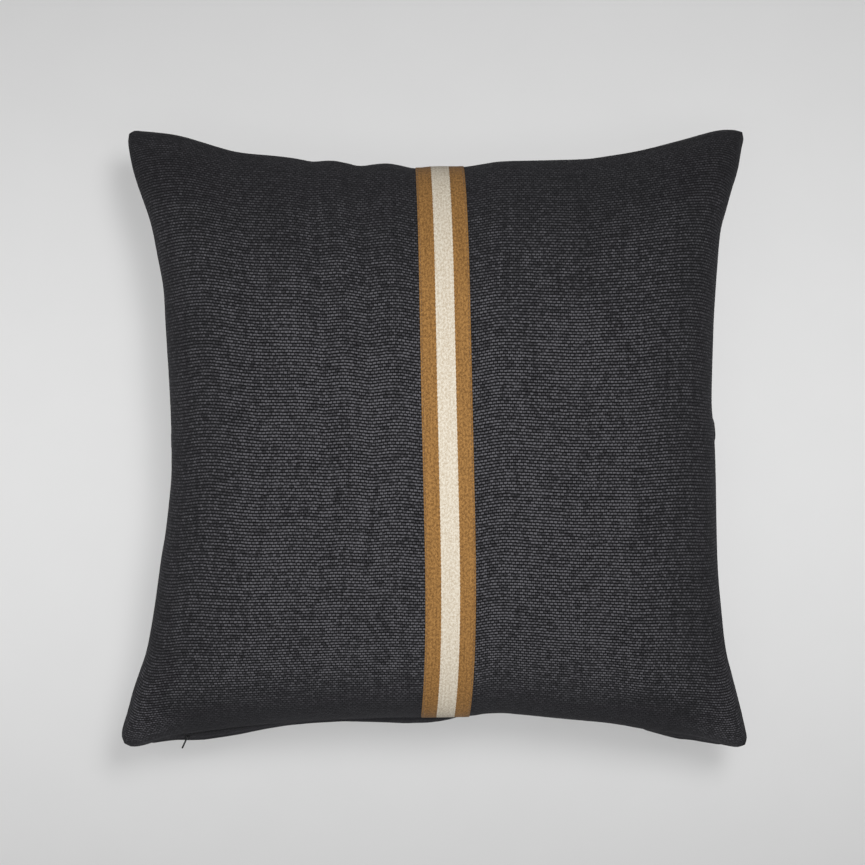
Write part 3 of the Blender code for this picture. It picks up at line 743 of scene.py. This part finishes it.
class Paint:
    """Builds one material from shader nodes."""

    def __init__(self, name, **surface):
        self.material = bpy.data.materials.new(name)
        self.material.use_nodes = True
        self.tree = self.material.node_tree
        self.shader = self.tree.nodes["Principled BSDF"]
        for socket, value in surface.items():
            self.shader.inputs[socket.replace("_", " ").title()].default_value = value

    def add(self, kind, settings=None, **inputs):
        """A node of a kind, with its settings, and with its inputs set or joined."""
        node = self.tree.nodes.new("ShaderNode" + kind)
        for key, value in (settings or {}).items():
            setattr(node, key, value)
        for key, value in inputs.items():
            name = int(key[1:]) if key[1:].isdigit() else key.replace("_", " ")
            self.join(value, node.inputs[name])
        return node

    def join(self, value, socket):
        """Links another node's output to a socket, or sets the socket to a value."""
        if isinstance(value, bpy.types.NodeSocket):
            self.tree.links.new(value, socket)
        else:
            socket.default_value = value

    def maths(self, operation, first, second=0.0):
        node = self.add("Math", {"operation": operation}, _0=first, _1=second)
        return node.outputs[0]

    def product(self, *values):
        """The product of two or more values."""
        total = values[0]
        for value in values[1:]:
            total = self.maths("MULTIPLY", total, value)
        return total

    def vector(self, operation, place, other):
        node = self.add("VectorMath", {"operation": operation}, _0=place, _1=other)
        return node.outputs[0]

    def scaled(self, place, scale):
        node = self.add("VectorMath", {"operation": "SCALE"}, _0=place, Scale=scale)
        return node.outputs[0]

    def blend(self, share, low, high):
        """A colour between two colours."""
        node = self.add("Mix", {"data_type": "RGBA"})
        self.join(share, node.inputs[0])
        self.join(low, node.inputs[6])
        self.join(high, node.inputs[7])
        return node.outputs[2]

    def spread(self, value, low, high, to_low=0.0, to_high=1.0):
        """A value between low and high as the matching value between to_low and to_high."""
        node = self.add("MapRange", Value=value, From_Min=low, From_Max=high)
        node.inputs["To Min"].default_value = to_low
        node.inputs["To Max"].default_value = to_high
        return node.outputs[0]

    def cloth(self):
        """Places on the flat cloth, in millimetres."""
        return self.add("UVMap", {"uv_map": "cloth"}).outputs[0]

    def solid(self):
        """Places in the object, in millimetres."""
        return self.scaled(self.add("TexCoord").outputs["Object"], 1 / MM)

    def stretch(self, place, x=1.0, y=1.0, z=1.0):
        """Places multiplied along each axis: a factor under 1 draws a pattern out that way."""
        return self.vector("MULTIPLY", place, (x, y, z))

    def noise(self, place, scale, detail, roughness=0.5):
        node = self.add("TexNoise", Vector=place, Scale=scale, Detail=detail, Roughness=roughness)
        return node.outputs[0]

    def wobble(self, place, scale, reach):
        """Places shifted about by up to half of reach."""
        noise = self.add("TexNoise", Vector=place, Scale=scale, Detail=1.0)
        centred = self.vector("SUBTRACT", noise.outputs["Color"], (0.5, 0.5, 0.5))
        return self.vector("ADD", place, self.scaled(centred, reach))

    def floats(self, place, length, height, gap):
        """Yarns that show between crossings: how high each stands, and a tone of its own."""
        node = self.add(
            "TexBrick",
            Vector=place,
            Color1=(0, 0, 0, 1),
            Color2=(1, 1, 1, 1),
            Mortar=(0.5, 0.5, 0.5, 1),
            Scale=1.0,
            Mortar_Size=gap,
            Mortar_Smooth=1.0,
            Bias=0.0,
            Brick_Width=length,
            Row_Height=height,
        )
        return self.maths("SUBTRACT", 1.0, node.outputs[1]), node.outputs[0]

    def finish(self, colour, height, distance, strength, rough=None):
        """Joins the colour, the bump and the roughness to the shader."""
        self.join(colour, self.shader.inputs["Base Color"])
        bump = self.add("Bump", Height=height, Distance=distance, Strength=strength)
        self.join(bump.outputs[0], self.shader.inputs["Normal"])
        if rough is not None:
            self.join(rough, self.shader.inputs["Roughness"])
        return self.material


def weave_crisp_and_lit(paint, place):
    """How crisp and lit the weave is: 1 in the middle, less towards the sides, the top and the
    bottom, where the weave is painted flat and darker as painted shade.
    """
    split = paint.add("SeparateXYZ", _0=place)
    aside = paint.maths("ABSOLUTE", split.outputs["X"])
    above = split.outputs["Y"]
    below = paint.product(above, -1.0)
    side = paint.spread(aside, *CRISP_LIT_ASIDE)
    top = paint.spread(above, *CRISP_LIT_ABOVE)
    base = paint.spread(below, *CRISP_LIT_BELOW)
    crisp_lit = paint.maths("MINIMUM", side, paint.maths("MINIMUM", top, base))
    lower = paint.spread(below, *CRISP_LIT_CORNER_BELOW)
    corner = paint.product(lower, paint.spread(aside, *CRISP_LIT_CORNER_ASIDE))
    return paint.maths("MAXIMUM", crisp_lit, corner)


def near_seam(paint, place):
    """0 over most of the cloth, rising to 1 at its seams, where a painted sheen lightens it."""
    split = paint.add("SeparateXYZ", _0=place)
    across = paint.maths("ABSOLUTE", split.outputs["X"])
    up = paint.maths("ABSOLUTE", split.outputs["Y"])
    half = SHEET_SIDE / 2 / MM
    return paint.spread(paint.maths("MAXIMUM", across, up), half - SEAM_SHEEN_START, half - SEAM_SHEEN_FULL)


def charcoal_weave():
    """Chunky plain weave: long floats in rows, each row half a float along from the last."""
    paint = Paint("charcoal_weave", roughness=0.9, sheen_weight=0.05, sheen_roughness=0.5)
    paint.shader.inputs["Sheen Tint"].default_value = SHEEN_TINT
    paint.shader.inputs["Specular IOR Level"].default_value = 0.15
    place = paint.cloth()
    uneven = paint.wobble(paint.wobble(place, 0.08, 0.9), 0.5, 0.9)
    drawn_out = paint.stretch(uneven, x=FLOAT_STRETCH)
    height, tone = paint.floats(drawn_out, FLOAT_STRETCH * FLOAT_LENGTH, PICK_PITCH, FLOAT_GAP)
    fibre = paint.noise(paint.stretch(place, x=0.6), 1.1, 3.0, 0.7)
    slub = paint.noise(paint.stretch(place, x=0.05), 0.45, 3.0, 0.6)
    streak = paint.noise(paint.stretch(place, y=0.03), 0.3, 3.0, 0.6)
    patch = paint.noise(place, 0.02, 2.0)
    yarn_tone = paint.spread(tone, 0, 1, 0.4, 1.4)
    fibre_tone = paint.spread(fibre, 0.25, 0.75, -0.6, 0.6)
    lit = paint.product(
        paint.maths("ADD", yarn_tone, fibre_tone),
        paint.spread(slub, 0.25, 0.75, 0.7, 1.3),
        paint.spread(streak, 0.25, 0.75, 0.68, 1.32),
        paint.spread(patch, 0.3, 0.7, 0.92, 1.08),
        paint.maths("POWER", height, 2.0),
    )
    # Painted shade: where the weave is less crisp, it gives way to flat, darker specks.
    flat_shaded_speck = paint.spread(paint.noise(place, 0.8, 3.0, 0.8), 0.38, 0.62, 0.01, 0.21)
    lit = paint.blend(weave_crisp_and_lit(paint, place), flat_shaded_speck, lit)
    # Painted sheen: near the seams the charcoal is painted a lighter, even grey.
    seam_sheen = paint.product(near_seam(paint, place), SEAM_SHEEN_SHARE)
    lit = paint.blend(seam_sheen, lit, SEAM_SHEEN_GREY)
    colour = paint.blend(lit, CHARCOAL_DEEP, CHARCOAL_TOP)
    rough = paint.spread(fibre, 0.2, 0.8, 0.8, 1.0)
    relief = paint.maths("ADD", height, paint.product(fibre, 0.3))
    return paint.finish(colour, relief, 0.00045, 0.9, rough)


def pale_stripe(paint, across, along):
    """1 on the pale stripe and 0 beside it. Its edges step in and out with the weft."""
    step = paint.maths("PINGPONG", along, STRIPE_STEP)
    nearest, furthest = PALE_HALF - STRIPE_UNEVEN, PALE_HALF + STRIPE_UNEVEN
    edge = paint.spread(step, *STRIPE_SLOPE, nearest, furthest)
    inside = paint.maths("SUBTRACT", edge, paint.maths("ABSOLUTE", across))
    return paint.spread(inside, -STRIPE_UNEVEN, STRIPE_UNEVEN)


def striped_weave():
    """Fine twill in brown, cream and brown, with a painted highlight along its lower end."""
    paint = Paint("striped_weave", roughness=0.85, sheen_weight=0.04, sheen_roughness=0.4)
    paint.shader.inputs["Specular IOR Level"].default_value = 0.2
    place = paint.cloth()
    split = paint.add("SeparateXYZ", _0=place)
    across, along = split.outputs["X"], split.outputs["Y"]
    slant = paint.add(
        "CombineXYZ",
        X=paint.maths("ADD", across, along),
        Y=paint.maths("SUBTRACT", along, across),
    ).outputs[0]
    uneven = paint.wobble(slant, 0.8, 0.3)
    yarn, tone = paint.floats(uneven, TWILL_LENGTH, TWILL_PITCH, TWILL_GAP)
    fibre = paint.noise(paint.stretch(place, y=0.7), 0.7, 4.0, 0.8)
    warp = paint.noise(paint.stretch(place, y=0.02), 0.8, 2.0)
    yarn_tone = paint.spread(tone, 0, 1, -0.22, 0.22)
    fibre_tone = paint.spread(fibre, 0.41, 0.59, 0.0, 1.15)
    light = paint.product(
        paint.maths("ADD", yarn_tone, fibre_tone),
        paint.spread(yarn, 0, 1, 0.35, 1.0),
    )
    light = paint.maths("ADD", light, paint.spread(warp, 0.3, 0.7, -0.15, 0.15))
    brown = paint.blend(light, BROWN_DEEP, BROWN_TOP)
    cream = paint.blend(light, CREAM_DEEP, CREAM_TOP)
    colour = paint.blend(pale_stripe(paint, across, along), brown, cream)
    # Painted highlight: the last millimetre of the band's lower end is painted pale.
    low_end = -SHEET_SIDE / 2 / MM
    cut = paint.spread(along, low_end, low_end + 1.0, 1.0, 0.0)
    colour = paint.blend(cut, colour, END_EDGE_HIGHLIGHT)
    rough = paint.spread(fibre, 0.2, 0.8, 0.75, 0.95)
    relief = paint.maths("ADD", yarn, paint.product(fibre, 0.6))
    return paint.finish(colour, relief, 0.00015, 0.7, rough)


def thread(name, deep, top):
    """Twisted sewing thread."""
    paint = Paint(name, roughness=0.7, sheen_weight=0.1)
    place = paint.solid()
    twist = paint.noise(paint.stretch(place, 1.0, 1.0, 3.0), 2.5, 3.0, 0.6)
    colour = paint.blend(paint.spread(twist, 0.3, 0.7), deep, top)
    rough = paint.spread(twist, 0.2, 0.8, 0.6, 0.85)
    return paint.finish(colour, twist, 0.0001, 0.6, rough)


def zip_tape():
    """Fine ribbed polyester tape."""
    paint = Paint("zip_tape_weave", roughness=0.8)
    place = paint.solid()
    ribs, tone = paint.floats(place, 0.8, 0.4, 0.12)
    colour = paint.blend(paint.product(ribs, 0.8), CHARCOAL_DEEP, CHARCOAL_TOP)
    rough = paint.spread(tone, 0, 1, 0.7, 0.9)
    return paint.finish(colour, ribs, 0.0001, 0.6, rough)


def zip_coil():
    """Nylon coil, seen as turns across the zip."""
    paint = Paint("zip_coil_nylon", roughness=0.4)
    place = paint.solid()
    wave = paint.add("TexWave", {"bands_direction": "X"}, Vector=place, Scale=0.35, Distortion=0.3)
    turns = wave.outputs["Fac"]
    grime = paint.noise(place, 0.4, 3.0)
    colour = paint.blend(turns, CHARCOAL_DEEP, CHARCOAL_TOP)
    rough = paint.spread(grime, 0.3, 0.7, 0.35, 0.55)
    return paint.finish(colour, turns, 0.0003, 0.8, rough)


def zip_metal():
    """Black painted metal, rubbed bare here and there along its edges."""
    paint = Paint("zip_metal_paint", roughness=0.5)
    paint.shader.inputs["Specular IOR Level"].default_value = 0.15
    place = paint.solid()
    grain = paint.noise(place, 1.2, 4.0, 0.6)
    edges = paint.add("NewGeometry").outputs["Pointiness"]
    bare = paint.product(paint.spread(edges, 0.55, 0.65), paint.spread(grain, 0.6, 0.7))
    colour = paint.blend(bare, BLACK_PAINT, BARE_METAL)
    paint.join(bare, paint.shader.inputs["Metallic"])
    rough = paint.spread(grain, 0.3, 0.7, 0.42, 0.6)
    return paint.finish(colour, grain, 0.00004, 0.4, rough)


def pale_cloth(name, deep, top, pitch, relief):
    """White inner cloth: a label's satin, the insert's casing or the fibre of the fill."""
    paint = Paint(name, roughness=0.85, sheen_weight=0.1)
    place = paint.solid()
    yarn, tone = paint.floats(paint.wobble(place, 0.6, pitch / 2), 2 * pitch, pitch, pitch / 4)
    fibre = paint.noise(place, 1.5, 4.0, 0.65)
    light = paint.product(
        paint.spread(yarn, 0, 1, 0.5, 1.0),
        paint.spread(fibre, 0.2, 0.8, 0.6, 1.2),
    )
    colour = paint.blend(light, deep, top)
    height = paint.maths("ADD", yarn, fibre)
    rough = paint.spread(tone, 0, 1, 0.75, 0.9)
    return paint.finish(colour, height, relief, 0.6, rough)


def floor_paint():
    """Smooth pale studio board."""
    paint = Paint("pale_floor", roughness=0.8)
    mottle = paint.noise(paint.solid(), 0.02, 2.0)
    colour = paint.blend(mottle, *FLOOR_TONES)
    return paint.finish(colour, mottle, 0.0001, 0.1)


# ---------------------------------------------------------------- studio


def make_floor():
    """A flat board that stays in the studio."""
    bm = bmesh.new()
    bmesh.ops.create_grid(bm, x_segments=2, y_segments=2, size=FLOOR_HALF)
    mesh = bpy.data.meshes.new("floor")
    bm.to_mesh(mesh)
    bm.free()
    floor = bpy.data.objects.new("floor", mesh)
    floor.data.materials.append(floor_paint())
    bpy.context.scene.collection.objects.link(floor)
    floor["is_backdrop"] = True
    return floor


def make_light(name, place, target, size, power, receivers, blockers=None):
    """A rectangular softbox that faces a target. It lights only its receivers."""
    data = bpy.data.lights.new(name, "AREA")
    data.shape = "RECTANGLE"
    data.size, data.size_y = size
    data.energy = power
    light = bpy.data.objects.new(name, data)
    light.location = place
    light.rotation_euler = (Vector(target) - Vector(place)).to_track_quat("-Z", "Y").to_euler()
    light.visible_camera = False
    bpy.context.scene.collection.objects.link(light)
    light.light_linking.receiver_collection = receivers
    light.light_linking.blocker_collection = blockers


def group(name, objects):
    """A collection that lights are linked to."""
    collection = bpy.data.collections.new(name)
    for piece in objects:
        collection.objects.link(piece)
    return collection


def make_world():
    """Even white light from all round."""
    world = bpy.data.worlds.new("studio")
    world.use_nodes = True
    background = world.node_tree.nodes["Background"]
    background.inputs["Color"].default_value = (1, 1, 1, 1)
    background.inputs["Strength"].default_value = WORLD_BRIGHTNESS
    bpy.context.scene.world = world


def make_camera():
    """Looks straight down on the pillow, with the picture's width at the height of the seam."""
    data = bpy.data.cameras.new("camera")
    data.sensor_width = SENSOR_WIDTH
    data.lens = data.sensor_width * CAMERA_ABOVE_SEAM / VIEW_WIDTH
    camera = bpy.data.objects.new("camera", data)
    camera.location = (*CAMERA_XY, SEAM_Z + CAMERA_ABOVE_SEAM)
    bpy.context.scene.collection.objects.link(camera)
    bpy.context.scene.camera = camera


def paint_nodes(materials):
    """Gives each CAD node that still shows the material of its slot."""
    for node in frame["nodes"].values():
        if not node.hide_render:
            slot = node.data.materials[0].name.split(".")[0]
            node.data.materials.clear()
            node.data.materials.append(materials[slot])


# ---------------------------------------------------------------- the scene

MATERIALS = {
    "cover_cloth": charcoal_weave(),
    "band": striped_weave(),
    "band_thread": thread("brown_thread", *BROWN_THREAD),
    "cover_thread": thread("charcoal_thread", *CHARCOAL_THREAD),
    "zip_tape": zip_tape(),
    "zip_coil": zip_coil(),
    "zip_metal": zip_metal(),
    "label": pale_cloth("label_satin", *LABEL_SATIN, pitch=0.3, relief=0.00005),
    "casing": pale_cloth("casing_cloth", *CASING_CLOTH, pitch=0.8, relief=0.0001),
    "casing_thread": thread("casing_thread", *CASING_THREAD),
    "fill": pale_cloth("fibre_fill", *FIBRE, pitch=3.0, relief=0.0008),
}

front_points, back_points = [finer(points) for points in inflate(plan_grid(CELLS))]
settle(front_points, back_points)
FRONT = Surface(front_points, 1)
BACK = Surface(back_points, -1)

make_panel("cover_front", FRONT, "front_panel", MATERIALS["cover_cloth"])
make_panel("cover_back", BACK, "back_panel", MATERIALS["cover_cloth"])
make_insert_panel("insert_front", FRONT, "insert_front_panel", MATERIALS["casing"])
make_insert_panel("insert_back", BACK, "insert_back_panel", MATERIALS["casing"])
make_fill(FRONT, BACK, MATERIALS["fill"])
make_band(FRONT, MATERIALS["band"])
make_stitches("band_stitches_left", FRONT, -1, "band_stitch_left", MATERIALS["band_thread"])
make_stitches("band_stitches_right", FRONT, 1, "band_stitch_right", MATERIALS["band_thread"])
make_pull_tab(MATERIALS["zip_metal"])
paint_nodes(MATERIALS)

STAGE = group("stage", [make_floor()])
PIECES = group("pillow_pieces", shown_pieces())
make_world()
make_light("softbox", **SOFTBOX, receivers=PIECES)
make_light("backdrop_strip", **BACKDROP_STRIP, receivers=STAGE, blockers=STAGE)
make_light("key", **KEY, receivers=STAGE)
make_camera()
bpy.context.scene.view_settings.view_transform = "Standard"
